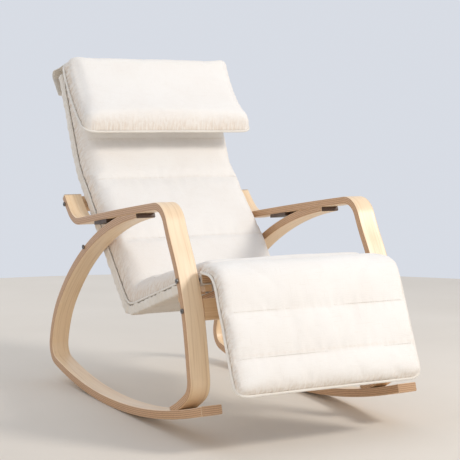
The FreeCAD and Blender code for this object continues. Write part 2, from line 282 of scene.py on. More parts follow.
def stitches(name, line, normals):
    """Row of short threads along a line of points."""
    line, normals = np.asarray(line, float), np.asarray(normals, float)
    run = np.concatenate([[0], np.cumsum(np.linalg.norm(np.diff(line, axis=0), axis=1))])
    verts, faces = [], []
    for s in np.arange(STITCH_PITCH, run[-1] - STITCH_PITCH, STITCH_PITCH):
        here = np.array([np.interp(s, run, line[:, k]) for k in range(3)])
        ahead = np.array([np.interp(s + 0.001, run, line[:, k]) for k in range(3)])
        n = np.array([np.interp(s, run, normals[:, k]) for k in range(3)])
        t = (ahead - here) / max(np.linalg.norm(ahead - here), 1e-9)
        n = n - t * n.dot(t)
        n /= max(np.linalg.norm(n), 1e-9)
        b = np.cross(t, n)
        here = here + n * (THREAD_RADIUS * 0.5 + THREAD_LIFT)
        base = len(verts)
        for along, size in ((-0.5, 0.35), (-0.3, 1.0), (0.3, 1.0), (0.5, 0.35)):
            for k in range(6):
                a = k * math.pi / 3
                out = (n * math.sin(a) + b * math.cos(a)) * THREAD_RADIUS * size
                verts.append(here + t * along * STITCH_LENGTH + out)
        for ring in range(base, base + 18, 6):
            for k in range(6):
                m = (k + 1) % 6
                faces.append((ring + k, ring + m, ring + 6 + m, ring + 6 + k))
        faces.append(tuple(base + k for k in range(6)))
        faces.append(tuple(base + 18 + k for k in range(6)))
    return new_object(name, verts, faces)


# ------------------------------------------------------------------ materials
class Surface:
    """A material and the shader nodes that make it up."""

    def __init__(self, name, base, roughness, metallic=0.0, sheen=0.0):
        self.material = bpy.data.materials.new(name)
        self.material.use_nodes = True
        self.nodes = self.material.node_tree.nodes
        self.links = self.material.node_tree.links
        self.inputs = self.nodes["Principled BSDF"].inputs
        self.feed(self.inputs["Base Color"], base)
        self.feed(self.inputs["Roughness"], roughness)
        self.feed(self.inputs["Metallic"], metallic)
        if sheen:
            self.feed(self.inputs["Sheen Weight"], sheen)
            self.feed(self.inputs["Sheen Roughness"], 0.5)

    def feed(self, socket, value):
        """Sets a socket to a number or a colour, or links another node's output to it."""
        if isinstance(value, (int, float)):
            socket.default_value = value
        elif isinstance(value, tuple):
            socket.default_value = (*value, 1)
        else:
            self.links.new(value, socket)

    def coordinates(self):
        return self.nodes.new("ShaderNodeTexCoord").outputs["Object"]

    def attribute(self, name):
        node = self.nodes.new("ShaderNodeAttribute")
        node.attribute_name = name
        return node.outputs["Vector"]

    def parts(self, vector):
        node = self.nodes.new("ShaderNodeSeparateXYZ")
        self.links.new(vector, node.inputs[0])
        return node.outputs

    def ramp(self, source, stops):
        node = self.nodes.new("ShaderNodeValToRGB")
        elements = node.color_ramp.elements
        for element, (position, colour) in ((elements[0], stops[0]), (elements[1], stops[-1])):
            element.position = position
            element.color = (*colour, 1)
        for position, colour in stops[1:-1]:
            elements.new(position).color = (*colour, 1)
        self.links.new(source, node.inputs["Fac"])
        return node.outputs["Color"]

    def grey_ramp(self, source, low, high):
        return self.ramp(source, [(position, (value,) * 3) for position, value in (low, high)])

    def mix(self, a, b, factor, mode="MIX"):
        node = self.nodes.new("ShaderNodeMix")
        node.data_type = "RGBA"
        node.blend_type = mode
        colours = {s.name: s for s in node.inputs if s.type == "RGBA"}
        self.feed(node.inputs["Factor"], factor)
        self.feed(colours["A"], a)
        self.feed(colours["B"], b)
        return [s for s in node.outputs if s.type == "RGBA"][0]

    def multiply(self, colour, mask, factor):
        return self.mix(colour, mask, factor, "MULTIPLY")

    def maths(self, operation, a, b=0.0):
        node = self.nodes.new("ShaderNodeMath")
        node.operation = operation
        self.feed(node.inputs[0], a)
        self.feed(node.inputs[1], b)
        return node.outputs[0]

    def scaled(self, vector, scale):
        node = self.nodes.new("ShaderNodeMapping")
        node.inputs["Scale"].default_value = scale
        self.links.new(vector, node.inputs["Vector"])
        return node.outputs["Vector"]

    def noise(self, vector, scale, detail=4.0, distortion=0.0):
        node = self.nodes.new("ShaderNodeTexNoise")
        node.inputs["Scale"].default_value = scale
        node.inputs["Detail"].default_value = detail
        node.inputs["Distortion"].default_value = distortion
        self.links.new(vector, node.inputs["Vector"])
        return node.outputs["Fac"]

    def threads(self, vector, axis, pitch):
        """Bands across one axis, a little uneven, at the pitch of the threads."""
        node = self.nodes.new("ShaderNodeTexWave")
        node.wave_type = "BANDS"
        node.bands_direction = axis
        node.inputs["Scale"].default_value = 0.314 / pitch
        node.inputs["Distortion"].default_value = 0.9
        node.inputs["Detail"].default_value = 1.0
        node.inputs["Detail Scale"].default_value = 1.5
        self.links.new(vector, node.inputs["Vector"])
        return node.outputs["Fac"]

    def bump(self, height, strength, distance, before=None):
        node = self.nodes.new("ShaderNodeBump")
        node.inputs["Strength"].default_value = strength
        node.inputs["Distance"].default_value = distance
        self.links.new(height, node.inputs["Height"])
        if before is not None:
            self.links.new(before, node.inputs["Normal"])
        return node.outputs["Normal"]


WHITE = (1, 1, 1)
# Across a pair of plies: glue line, long grain, end grain, glue line.
PLY_STOPS = [(0.0, (0.24, 0.15, 0.09)), (0.07, (1.0, 0.93, 0.84)), (0.48, (1.0, 0.97, 0.92)),
             (0.55, (0.58, 0.42, 0.30)), (0.93, (0.66, 0.50, 0.37)), (1.0, (0.24, 0.15, 0.09))]


def wood(name, light, dark, edge=None, rough=0.42, swept=False, ends=False):
    """Lacquered wood. The grain runs along a swept band, or along X on any other piece.

    With a colour for the edge, the sides of a band show its plies; with ends, every face does.
    """
    surface = Surface(name, light, rough)
    if swept:
        vector = surface.attribute("grain")
        fine = surface.scaled(vector, (6, 240, 60))
        broad = surface.scaled(vector, (1.6, 34, 12))
    else:
        vector = surface.coordinates()
        fine = surface.scaled(vector, (8, 260, 260))
        broad = surface.scaled(vector, (2, 40, 40))
    grain = surface.noise(broad, 1.0, 5, 1.3)
    pores = surface.noise(fine, 1.0, 3, 0.4)
    bright = tuple(min(1, c * 1.06) for c in light)
    colour = surface.ramp(grain, [(0.30, dark), (0.52, light), (0.75, bright)])
    colour = surface.multiply(colour, surface.ramp(pores, [(0.34, (0.78, 0.70, 0.60)), (0.50, WHITE)]), 0.55)
    if edge is not None:
        normal = surface.nodes.new("ShaderNodeNewGeometry").outputs["Normal"]
        side = surface.maths("ABSOLUTE", surface.parts(normal)["X"])
        side = surface.grey_ramp(side, (0.55, 0), (0.80, 1))
        layer = surface.maths("MULTIPLY", surface.parts(vector)["Z"], 1.0 / PLY_PAIR)
        layer = surface.maths("FRACT", surface.maths("ADD", layer, 40.5))
        speck = surface.noise(surface.scaled(vector, (90, 400, 700)), 1.0, 2)
        cut = surface.multiply(edge, surface.ramp(layer, PLY_STOPS), 0.75)
        cut = surface.multiply(cut, surface.ramp(speck, [(0.35, (0.72, 0.62, 0.5)), (0.6, WHITE)]), 0.5)
        colour = surface.mix(colour, cut, 1.0 if ends else side)
    surface.feed(surface.inputs["Base Color"], colour)
    surface.feed(surface.inputs["Coat Weight"], 0.22)
    surface.feed(surface.inputs["Coat Roughness"], 0.28)
    wear = surface.grey_ramp(surface.noise(broad, 2.5, 3), (0.3, rough - 0.08), (0.7, rough + 0.12))
    surface.feed(surface.inputs["Roughness"], wear)
    surface.feed(surface.inputs["Normal"], surface.bump(pores, 0.25, 0.0003))
    return surface.material


def cloth(name, light, shade, thread, strength, slub, gathers=False):
    """Plain-weave cotton and linen: crossing threads, slubs and soft colour drift, gathers by the seams with
    painted shade in their folds.
    """
    surface = Surface(name, light, 0.88, sheen=0.25)
    vector = surface.coordinates()
    across, along, upward = [surface.threads(vector, axis, thread) for axis in ("X", "Y", "Z")]
    weave = surface.maths("MAXIMUM", across, surface.maths("MULTIPLY", along, upward))
    weft = surface.noise(surface.scaled(vector, (26, 480, 480)), 1.0, 3, 0.6)
    warp = surface.noise(surface.scaled(vector, (520, 30, 30)), 1.0, 3, 0.6)
    colour = surface.ramp(surface.noise(vector, 9.0, 4, 0.3), [(0.30, shade), (0.62, light)])
    flecks = surface.maths("MINIMUM", weft, warp)
    colour = surface.multiply(colour, surface.ramp(flecks, [(0.26, (0.80, 0.74, 0.66)), (0.40, WHITE)]), slub)
    colour = surface.multiply(colour, surface.ramp(weave, [(0.0, (0.90, 0.88, 0.85)), (0.6, WHITE)]), 0.6)
    soft = surface.bump(surface.noise(vector, 38.0, 2, 0.2), 0.16, 0.0012)
    if gathers:
        seam = surface.attribute("seam")
        nearness = surface.parts(seam)["Y"]
        folds = surface.noise(surface.scaled(seam, (150, 3, 1)), 1.0, 2, 0.3)
        soft = surface.bump(surface.maths("MULTIPLY", folds, nearness), 0.8, 0.0026, soft)
        # Painted shade: near the seams, the gathers' folds and the rolled sides are coloured darker and warmer,
        # as shade in them.
        fold_painted_shade = surface.ramp(folds, [(0.38, (0.80, 0.67, 0.54)), (0.60, (0.97, 0.92, 0.86))])
        colour = surface.mix(colour, surface.multiply(colour, fold_painted_shade, 0.8), nearness)
    surface.feed(surface.inputs["Base Color"], colour)
    threads = surface.bump(weave, strength, 0.0004, soft)
    slubs = surface.bump(surface.maths("MAXIMUM", weft, warp), 0.3, 0.0004, threads)
    surface.feed(surface.inputs["Normal"], slubs)
    return surface.material


def metal(name, colour, roughness):
    surface = Surface(name, colour, roughness, metallic=1.0)
    marks = surface.noise(surface.coordinates(), 400.0, 4, 0.3)
    dull = tuple(c * 0.7 for c in colour)
    surface.feed(surface.inputs["Base Color"], surface.ramp(marks, [(0.3, dull), (0.7, colour)]))
    wear = surface.grey_ramp(marks, (0.3, roughness - 0.1), (0.7, roughness + 0.15))
    surface.feed(surface.inputs["Roughness"], wear)
    surface.feed(surface.inputs["Normal"], surface.bump(marks, 0.15, 0.0002))
    return surface.material


def plaster(name, light, shade):
    """Pale matt floor with a slow drift of colour."""
    surface = Surface(name, light, 0.9)
    vector = surface.coordinates()
    drift = surface.ramp(surface.noise(vector, 1.5, 3, 0.2), [(0.3, shade), (0.7, light)])
    surface.feed(surface.inputs["Base Color"], drift)
    surface.feed(surface.inputs["Normal"], surface.bump(surface.noise(vector, 160.0, 4), 0.15, 0.0008))
    return surface.material


BIRCH = (0.87, 0.66, 0.435)
BIRCH_DARK = (0.80, 0.58, 0.36)
BIRCH_EDGE = (0.66, 0.43, 0.25)
MATERIALS = {
    "bent_birch": wood("bent_birch", BIRCH, BIRCH_DARK, edge=BIRCH_EDGE, swept=True),
    "rail_birch": wood("rail_birch", BIRCH, BIRCH_DARK, edge=BIRCH_EDGE, swept=True),
    "cut_ends": wood("cut_ends", BIRCH, BIRCH_DARK, edge=(0.62, 0.42, 0.26), swept=True, ends=True),
    "board_birch": wood("board_birch", (0.76, 0.52, 0.30), (0.66, 0.42, 0.23)),
    "bar_beech": wood("bar_beech", (0.62, 0.37, 0.20), (0.52, 0.29, 0.15)),
    # Near-black wood: painted shade of the recess under the armrest. It is used on the rocker band's upper end
    # and on the CAD's pieces with this slot there; end grain is also somewhat darker in its own right.
    "dark_block": wood("dark_block", (0.075, 0.038, 0.020), (0.045, 0.022, 0.012), rough=0.5),
    "canvas": cloth("canvas", (0.84, 0.78, 0.69), (0.78, 0.71, 0.61), 0.0016, 0.6, 0.35),
    "pad_cloth": cloth("pad_cloth", (0.885, 0.85, 0.80), (0.865, 0.82, 0.765), 0.0012, 0.4, 0.22,
                       gathers=True),
    "piping": cloth("piping", (0.90, 0.85, 0.77), (0.84, 0.78, 0.69), 0.0008, 0.7, 0.2),
    "thread": cloth("thread", (0.72, 0.65, 0.55), (0.64, 0.57, 0.47), 0.0005, 0.9, 0.2),
    "tie_tape": cloth("tie_tape", (0.78, 0.75, 0.68), (0.70, 0.66, 0.58), 0.0009, 0.9, 0.3),
    "bolt_steel": metal("bolt_steel", (0.27, 0.26, 0.25), 0.36),
    "screw_steel": metal("screw_steel", (0.42, 0.41, 0.39), 0.35),
}


def dress(obj, slot_name, body, material=None):
    """Gives a piece its finish and body; material is for a piece that differs from its slot's own."""
    obj.data.materials.clear()
    obj.data.materials.append(MATERIALS[material or slot_name])
    if body:
        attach(obj, body)
    return obj


def show_plies(piece):
    """Cut ends of a band show its plies."""
    piece.data.materials.append(MATERIALS["cut_ends"])
    for face in piece.data.polygons:
        face.material_index = 1 if len(face.vertices) > 4 else 0


for entry in frame["record"]["subparts"]:
    node = frame["nodes"][entry["node"]]
    finish = MATERIALS[entry["material_slot"]]
    for slot in node.material_slots:
        slot.material = finish
    if not node.material_slots:
        node.data.materials.append(finish)

# ------------------------------------------------------------------ side frames
TOUCH = 0.0001              # gap left where the two bands meet
LEAST_BAND = 0.0015         # a tapered band ends where it gets thinner than this
LEAST_FOOT = 0.0012
ARMREST_END = 0.72          # length along the arm band where the armrest turns into the leg
RUNNER_START = 1.0          # length along the rocker band where the runner starts
FOOT_TOP = 0.14             # height below which the leg can meet the runner
JOINT_REAR, JOINT_LOW = 0.2, 0.4


def trimmed(path, low, high, least):
    """A band's path and faces without the stations where it would be thinner than least."""
    keep = [i for i in range(len(high)) if high[i] - low[i] > least]
    return path.thinned(keep), [low[i] for i in keep], [high[i] for i in keep]


def rocker_faces(path, armrest):
    """The rocker band tapers out under the armrest."""
    low, high = [], []
    for point, normal in zip(path.p, path.n):
        top = HALF_ROCKER
        if point[0] < JOINT_REAR and point[1] > JOINT_LOW:
            hit = crossing(point, normal, armrest)
            if hit is not None:
                top = min(top, hit - TOUCH)
        low.append(-HALF_ROCKER)
        high.append(top)
    return trimmed(path, low, high, LEAST_BAND)


def arm_faces(path, runner):
    """The foot of the arm band is cut to lie on the runner."""
    low, high = [], []
    for point, normal in zip(path.p, path.n):
        bottom = -HALF_ARM
        if point[1] < FOOT_TOP:
            hit = crossing(point, normal, runner)
            if hit is not None:
                bottom = max(bottom, hit + TOUCH)
        low.append(bottom)
        high.append(HALF_ARM)
    return trimmed(path, low, high, LEAST_FOOT)


arm_path, rocker_path = bent_path(ARM), bent_path(ROCKER)
arm_under = arm_path.offset(HALF_ARM)[arm_path.s < ARMREST_END]
rocker_path, rocker_low, rocker_high = rocker_faces(rocker_path, arm_under)
runner_top = rocker_path.offset(-HALF_ROCKER)[rocker_path.s > RUNNER_START]
arm_path, arm_low, arm_high = arm_faces(arm_path, runner_top)

for side, sign in (("left", 1), ("right", -1)):
    x0, x1 = sorted((sign * BAND_INSIDE, sign * BAND_OUTSIDE))
    piece = band("arm_%s" % side, arm_path, x0, x1, arm_low, arm_high, BAND_EASE)
    dress(piece, "bent_birch", "chair")
    show_plies(piece)
    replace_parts(piece, "arm_band_%s" % side)
    piece = band("rocker_%s" % side, rocker_path, x0, x1, rocker_low, rocker_high, BAND_EASE)
    dress(piece, "bent_birch", "chair")
    show_plies(piece)
    # The band's upper end face, under the armrest, takes the near-black dark_block wood: painted shade of the
    # recess there, over end grain.
    piece.data.materials.append(MATERIALS["dark_block"])
    end_faces = [face for face in piece.data.polygons if len(face.vertices) > 4]
    max(end_faces, key=lambda face: face.center.z).material_index = 2
    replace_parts(piece, "rocker_band_%s" % side)

# ------------------------------------------------------------------ rails inside the sleeves
back_path, foot_path = bent_path(BACK), bent_path(FOOT)


def rail(name, path, places, faces, body):
    count = len(path.s)
    piece = band(name, path, *sorted(places), [faces[0]] * count, [faces[1]] * count, RAIL_EASE)
    dress(piece, "rail_birch", body)
    show_plies(piece)
    return piece


for side, sign in (("left", 1), ("right", -1)):
    places = [sign * x for x in SEAT_RAIL]
    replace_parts(rail("seat_rail_%s" % side, back_path, places, SEAT_RAIL_FACES, "chair"),
                "seat_back_rail_%s" % side)
    places = [sign * x for x in FOOT_RAIL]
    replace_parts(rail("foot_rail_%s" % side, foot_path, places, (-HALF_FOOT_RAIL, HALF_FOOT_RAIL), "footrest"),
                "footrest_rail_%s" % side)

# ------------------------------------------------------------------ canvas slings with their sleeves
CANVAS_MESH = 0.010
CANVAS_THICKNESS = 0.0014
SLEEVE_GAP = 0.0013
FOLDED_FROM = 0.86


def seat_wrinkle(s, outline):
    """Soft gathers across the sleeves, deeper under the seat, and nearly flat canvas between them."""
    sleeve = np.abs(outline[:, 0]) > SEAT_RAIL[0] - 0.002
    fold = (math.sin(s * 190 + 1.7 * math.sin(s * 23)) + 0.7 * math.sin(s * 71 + 2.0)
            + 0.5 * math.sin(s * 317 + 0.6))
    sag = np.sin(s * 37 + outline[:, 1] * 90) * 0.4
    strength = 0.0017 if s > FOLDED_FROM else 0.0008
    flat = 0.0003 * np.sin(s * 31 + outline[:, 0] * 17)
    return np.where(sleeve, np.maximum(strength * (fold + sag + 0.3), -0.0008), flat)


def foot_wrinkle(s, outline):
    return 0.0004 * np.sin(s * 160 + outline[:, 1] * 60) * (np.abs(outline[:, 0]) > 0.185)


def sleeve_outline(places, near, far):
    """Open (x, offset) line round one rail, across the sling and round the other rail."""
    inside, outside = places[0] - SLEEVE_GAP, places[1] + SLEEVE_GAP
    corners = [(-inside, far), (-inside, near), (-outside, near), (-outside, far),
               (outside, far), (outside, near), (inside, near), (inside, far)]
    return subdivided(arc_corner(corners, 0.004), CANVAS_MESH)


outline = sleeve_outline(SEAT_RAIL, SEAT_RAIL_FACES[0] - SLEEVE_GAP, SEAT_RAIL_FACES[1] + SLEEVE_GAP)
sling = cloth_strip("sling_cloth", back_path, outline, CANVAS_THICKNESS, seat_wrinkle)
dress(sling, "canvas", "chair")
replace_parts(sling, "seat_back_sling", "rail_sleeve_left", "rail_sleeve_right")

low_start = FOOT[2][0][0] + FOOT[2][1][0]
low_path = bent_path(FOOT, 0.005).cut(low_start, low_start + 0.205)
outline = sleeve_outline(FOOT_RAIL, HALF_FOOT_RAIL + SLEEVE_GAP, -HALF_FOOT_RAIL - SLEEVE_GAP)
foot_sling = cloth_strip("foot_sling_cloth", low_path, outline, CANVAS_THICKNESS, foot_wrinkle)
dress(foot_sling, "canvas", "footrest")
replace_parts(foot_sling, "footrest_sling", "footrest_sleeve_left", "footrest_sleeve_right")

# ------------------------------------------------------------------ padded pieces
CELL = 0.0125
LAYERS = 4
TUCK = 0.0028               # how deep a sewn row pulls the cloth in
TUCK_REACH = 0.013          # how far along the pad the pull reaches
TUCK_FADE = 0.03            # width at the sides over which it fades
PUCKER = 0.0008
SWELL = 0.0014


def resample(points, fractions):
    points = np.asarray(points, float)
    run = np.concatenate([[0], np.cumsum(np.hypot(*np.diff(points, axis=0).T))])
    return np.stack([np.interp(np.asarray(fractions) * run[-1], run, points[:, k]) for k in (0, 1)], 1)


def rounded_line(corners):
    """Points (y, z, reach) joined by lines, each corner eased over its reach."""
    points = [np.array(corners[0][:2])]
    for (*a, _), (*b, reach), (*c, _) in zip(corners, corners[1:], corners[2:]):
        points += eased_corner(np.array(a), np.array(b), np.array(c), reach, 9)
    return np.array(points + [np.array(corners[-1][:2])])


def middle_run(rear, front):
    """Lengths along the line midway between the rear and front lines."""
    middle = (rear + front) / 2
    return np.concatenate([[0], np.cumsum(np.hypot(*np.diff(middle, axis=0).T))])


class Pad:
    """Stuffed box: a rear face with a seam round it, side gussets and a soft front face.

    rear and front are its long (y, z) lines and half is half its width. radius is the reach of the
    rounding at the first end, at the last end and at the sides; corner is the size of the corners at
    each end, seen from the front; quilts are the sewn rows' places along it; caps are how far the
    front and the gussets may blow up.
    """

    def __init__(self, name, rear, front, half, radius, corner, quilts, caps):
        self.name, self.rear, self.front, self.half = name, rear, front, half
        self.radius, self.corner, self.quilts, self.caps = radius, corner, quilts, caps
        self.run = middle_run(rear, front)
        self.length = self.run[-1]
        self.columns = round(2 * half / CELL)
        self.build()

    def station(self, a):
        """Rear and front points at length a."""
        lines = (self.rear, self.front)
        return [np.array([np.interp(a, self.run, line[:, k]) for k in (0, 1)]) for line in lines]

    def place(self, a, x, c):
        """World point at length a, width x and fraction c of the thickness; edges are eased."""
        rear, front = self.station(a)
        thick = np.hypot(*(front - rear))
        depth = c * thick
        near, far, across = self.radius
        reach = np.array([near if a < self.length / 2 else far, across, thick * 0.8])
        if c > 0:
            q = np.array([min(max(a, near), self.length - far),
                          min(max(x, across - self.half), self.half - across),
                          min(depth, thick - reach[2])])
            d = (np.array([a, x, depth]) - q) / reach
            size = np.linalg.norm(d)
            if size > 1e-9:
                a, x, depth = q + d * np.abs(d).max() / size * reach
        for end, corner in ((0.0, self.corner[0]), (self.length, self.corner[1])):
            da = corner - abs(a - end)
            dx = abs(x) - (self.half - corner)
            if corner and da > 0 and dx > 0:
                scale = max(da, dx) / math.hypot(da, dx)
                a = end + (corner - da * scale) * (1 if end == 0 else -1)
                x = math.copysign(self.half - corner + dx * scale, x)
        fade = min(1.0, (self.half - abs(x)) / TUCK_FADE + 0.25)
        for quilt in self.quilts:
            depth -= TUCK * fade * c * math.exp(-((a - quilt) / TUCK_REACH) ** 2)
        rear, front = self.station(a)
        p = rear + (front - rear) / np.hypot(*(front - rear)) * depth
        return (x, p[0], p[1]), (a, x, depth)

    def build(self):
        """Mesh over all six faces; the rear face and the sewn rows are pinned."""
        rows, cols, index = len(self.run) - 1, self.columns, {}
        verts, grid = [], []
        pinned = {min(range(rows + 1), key=lambda i: abs(self.run[i] - q)) for q in self.quilts}
        self.pins, self.cap = [], []
        for i in range(rows + 1):
            for j in range(cols + 1):
                for k in range(LAYERS + 1):
                    if i not in (0, rows) and j not in (0, cols) and k not in (0, LAYERS):
                        continue
                    point, coords = self.place(self.run[i], (2 * j / cols - 1) * self.half, k / LAYERS)
                    index[i, j, k] = len(verts)
                    verts.append(point)
                    grid.append(coords)
                    seam = k == 0 or (k == LAYERS and i in pinned and 2 <= j <= cols - 2)
                    self.pins.append(1.0 if seam else 0.0)
                    side = j in (0, cols) or i in (0, rows)
                    self.cap.append(0.0 if seam else self.caps[1] if side else self.caps[0])
        faces = []

        def skin(cells):
            for cell in cells:
                faces.append(tuple(index[v] for v in cell))

        for i in range(rows):
            for k in (0, LAYERS):
                skin([((i, j, k), (i, j + 1, k), (i + 1, j + 1, k), (i + 1, j, k)) for j in range(cols)])
            for j in (0, cols):
                skin([((i, j, k), (i, j, k + 1), (i + 1, j, k + 1), (i + 1, j, k)) for k in range(LAYERS)])
        for j in range(cols):
            for i in (0, rows):
                skin([((i, j, k), (i, j, k + 1), (i, j + 1, k + 1), (i, j + 1, k)) for k in range(LAYERS)])
        self.obj = new_object(self.name, verts, faces, grain=grid)
        self.start = np.array(verts)
        group = self.obj.vertex_groups.new(name="pin")
        for vertex, weight in enumerate(self.pins):
            group.add([vertex], weight, "REPLACE")
        edge = [(i, 0) for i in range(rows)] + [(rows, j) for j in range(cols)]
        edge += [(i, cols) for i in range(rows, 0, -1)] + [(0, j) for j in range(cols, 0, -1)]
        self.rim = [index[i, j, 0] for i, j in edge]
        self.rim_above = [index[i, j, 1] for i, j in edge]
        self.quilt_rows = [[index[i, j, LAYERS] for j in range(1, cols)] for i in sorted(pinned)]

    def cloth(self):
        """Light pressure blows the cover up from inside."""
        mod = self.obj.modifiers.new("cloth", "CLOTH")
        s = mod.settings
        s.quality = 6
        s.mass = 0.3
        s.tension_stiffness = 12
        s.compression_stiffness = 12
        s.shear_stiffness = 4
        s.bending_stiffness = 0.4
        s.vertex_group_mass = "pin"
        s.use_pressure = True
        s.uniform_pressure_force = 4
        s.shrink_min = -0.012
        s.effector_weights.gravity = 0
        mod.collision_settings.use_collision = False

    def settle(self):
        """Keeps the blown-up shape, with each point's movement capped."""
        graph = bpy.context.evaluated_depsgraph_get()
        mesh = self.obj.evaluated_get(graph).data
        now = np.empty(len(mesh.vertices) * 3)
        mesh.vertices.foreach_get("co", now)
        move = now.reshape(-1, 3) - self.start
        size = np.maximum(np.linalg.norm(move, axis=1), 1e-9)
        cap = np.array(self.cap)
        soft = np.where(cap > 0, cap * np.tanh(size / np.maximum(cap, 1e-6)), 0)
        self.obj.modifiers.clear()
        self.obj.data.vertices.foreach_set("co", (self.start + move * (soft / size)[:, None]).ravel())

    def refine(self):
        """Finer mesh with puckers by the seams and a slight unevenness between them."""
        self.obj.modifiers.new("subdivide", "SUBSURF").levels = 1
        finish_modifiers(self.obj)
        mesh = self.obj.data
        count = len(mesh.vertices)
        co, normal, grid = np.empty(count * 3), np.empty(count * 3), np.empty(count * 3)
        mesh.vertices.foreach_get("co", co)
        mesh.vertex_normals.foreach_get("vector", normal)
        mesh.attributes["grain"].data.foreach_get("vector", grid)
        co, normal, grid = co.reshape(-1, 3), normal.reshape(-1, 3), grid.reshape(-1, 3)
        a, x, c = grid.T
        rows = [np.abs(a - quilt) for quilt in self.quilts]
        beside = np.exp(-(self.half - np.abs(x)) / 0.013)
        below = np.exp(-np.minimum(a, self.length - a) / 0.009) * 0.8
        sewn = np.max([np.exp(-row / 0.004) for row in rows] or [0 * a], axis=0) * 0.5
        front, crown = c > 0.002, c > 0.012
        ripple = np.sin(x * 285 + 1.4 * np.sin(x * 61 + a * 9)) + 0.6 * np.sin(x * 131 + a * 17 + 1.1)
        ripple_side = np.sin(a * 300 + 1.5 * np.sin(a * 47)) + 0.6 * np.sin(a * 131 + 0.8)
        ripple_end = np.sin(x * 290 + 1.3 * np.sin(x * 53)) + 0.6 * np.sin(x * 117 + 0.4)
        swell = np.sin(x * 11 + a * 7 + 1.0) * np.sin(a * 13 - x * 5) + 0.5 * np.sin(x * 23 - a * 19)
        lift = crown * PUCKER * 0.8 * ripple * sum(np.exp(-row / 0.012) for row in rows)
        lift += front * PUCKER * (1.2 * beside * ripple_side + 0.9 * below * ripple_end)
        lift += crown * SWELL * swell
        # The seam attribute holds each point's place along its nearest seam and how near it is. The cloth
        # material bumps gathers there and paints shade into their folds.
        along = np.where((beside >= below) & (beside >= sewn), a, x)
        near = np.maximum(np.maximum(beside, below), sewn) ** 1.5
        seam = np.stack([along, front * near, 0 * a], 1)
        layer = mesh.attributes.new("seam", "FLOAT_VECTOR", "POINT")
        layer.data.foreach_set("vector", seam.astype(np.float32).ravel())
        mesh.vertices.foreach_set("co", (co + normal * lift[:, None]).ravel())
        mesh.update()


def pair(rear_parts, front_parts):
    """Rear and front lines cut into the same number of stations, part by part."""
    rear, front = [], []
    for a, b in zip(rear_parts, front_parts):
        length = np.hypot(*np.diff(a, axis=0).T).sum()
        f = np.linspace(0, 1, max(3, round(length / CELL)) + 1)
        rear.append(resample(a, f)[(1 if rear else 0):])
        front.append(resample(b, f)[(1 if front else 0):])
    return np.vstack(rear), np.vstack(front)


def offset_line(path, s0, s1, distance, count=60):
    return np.array([path.at(s, distance) for s in np.linspace(s0, s1, count)])


def rows_at(rear, front, keep, axis, places):
    """Lengths along a pad where the kept part of its front line passes the given y or z places."""
    line, run = front[keep], middle_run(rear, front)[keep]
    order = np.argsort(line[:, axis])
    return [float(np.interp(place, line[order, axis], run[order])) for place in places]


# The seat and back pad: from the top of the back down to the bend, then forward to the seat's edge.
SEAT_BEND = 0.897
SEAT_END = back_path.s[-1]
PAD_REST = -0.0276
BACK_ROWS = (0.840, 0.766, 0.648, 0.474)
SEAT_ROWS = (-0.090, -0.265)
back_front = rounded_line([(0.503, 0.984, 0), (0.367, 0.700, 0.050), (0.038, 0.360, 0)])
seat_front = rounded_line([(0.038, 0.360, 0), (-0.200, 0.4137, 0.05), (-0.432, 0.463, 0)])
back_rear = offset_line(back_path, 0.014, SEAT_BEND, PAD_REST)
seat_rear = offset_line(back_path, SEAT_BEND, SEAT_END, PAD_REST)
rear, front = pair([back_rear, seat_rear], [back_front, seat_front])
on_back = (front[:, 1] > 0.37) & (front[:, 0] > 0.05)
on_seat = front[:, 0] < 0.03
quilts = rows_at(rear, front, on_back, 1, BACK_ROWS) + rows_at(rear, front, on_seat, 0, SEAT_ROWS)
back_pad = Pad("back_pad", rear, front, half=0.2570, radius=(0.012, 0.016, 0.030), corner=(0.008, 0.026),
               quilts=quilts, caps=(0.009, 0.0040))

LEG_PAD_THICKNESS = 0.0280
LEG_ROWS = (0.248, 0.355)
leg_path = bent_path(LEG, FINE_STEP)
leg_end = leg_path.s[-1]
rear, front = pair([offset_line(leg_path, 0.001, leg_end - 0.001, 0.0)],
                   [offset_line(leg_path, 0.002, leg_end - 0.011, -LEG_PAD_THICKNESS)])
quilts = rows_at(rear, front, slice(None), 1, LEG_ROWS)
leg_pad = Pad("leg_pad", rear, front, half=0.2745, radius=(0.010, 0.018, 0.028), corner=(0.008, 0.014),
              quilts=quilts, caps=(0.006, 0.003))

PILLOW_THICKNESS = 0.0530
pillow_path = bent_path(PILLOW, FINE_STEP)
pillow_end = pillow_path.s[-1]
rear, front = pair([offset_line(pillow_path, 0.017, pillow_end - 0.002, -0.0005)],
                   [offset_line(pillow_path, 0.002, pillow_end - 0.018, -PILLOW_THICKNESS)])
pillow = Pad("pillow", rear, front, half=0.2870, radius=(0.007, 0.020, 0.036), corner=(0.004, 0.020),
             quilts=[], caps=(0.008, 0.0035))

# Pad, its CAD node, its body, how full it is and its cord's radius.
PADS = (
    (back_pad, "seat_back_pad", "chair", 0.75, 0.0033),
    (leg_pad, "footrest_pad", "footrest", 0.7, 0.0036),
    (pillow, "headrest_pillow", "headrest", 0.65, 0.0036),
)
FRAMES = 20
for piece, *_ in PADS:
    piece.cloth()
scene.frame_start = 1
scene.frame_end = FRAMES
for number in range(1, FRAMES + 1):
    scene.frame_set(number)
    bpy.context.evaluated_depsgraph_get()
for piece, *_ in PADS:
    piece.settle()
scene.frame_set(1)


